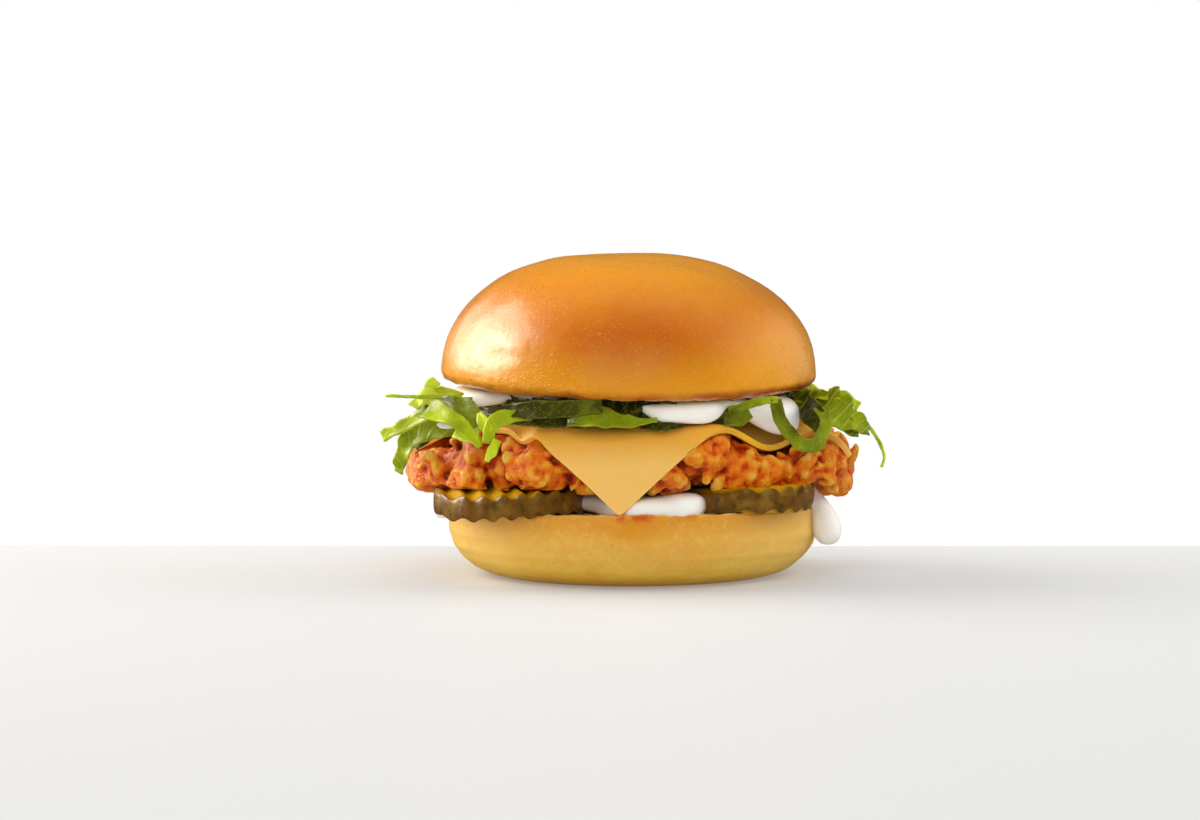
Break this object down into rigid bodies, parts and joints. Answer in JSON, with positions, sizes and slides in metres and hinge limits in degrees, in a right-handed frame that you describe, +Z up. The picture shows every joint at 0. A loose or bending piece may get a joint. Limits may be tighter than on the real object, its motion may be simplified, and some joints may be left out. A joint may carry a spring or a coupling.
{
  "type": "chicken burger",
  "caption": "Upright chicken burger: glossy round bun over shredded lettuce, a draped cheese slice, crisp fried fillet, pickles and white sauce.",
  "frame": {"origin": "centre of the flat underside of the bun's heel, where the burger rests", "axes": "+X to the right as pictured, -Y towards the front that the picture shows, +Z up"},
  "size_m": [0.1446, 0.1136, 0.0924],
  "materials": {
    "crown_crust": "gloss",
    "heel_crust": "satin",
    "fried_chicken": "satin",
    "cheese": "satin",
    "lettuce": "satin",
    "pickle": "gloss",
    "white_sauce": "gloss"
  },
  "bodies": {
    "root": {"bun_heel": "heel_crust", "sauce_lower": "white_sauce", "pickle_front_left": "pickle", "pickle_front_right": "pickle", "pickle_back_left": "pickle", "pickle_back_right": "pickle", "chicken_fillet": "fried_chicken", "cheese_slice": "cheese", "lettuce_shreds": "lettuce", "sauce_upper": "white_sauce", "bun_crown": "crown_crust"}
  },
  "joints": []
}
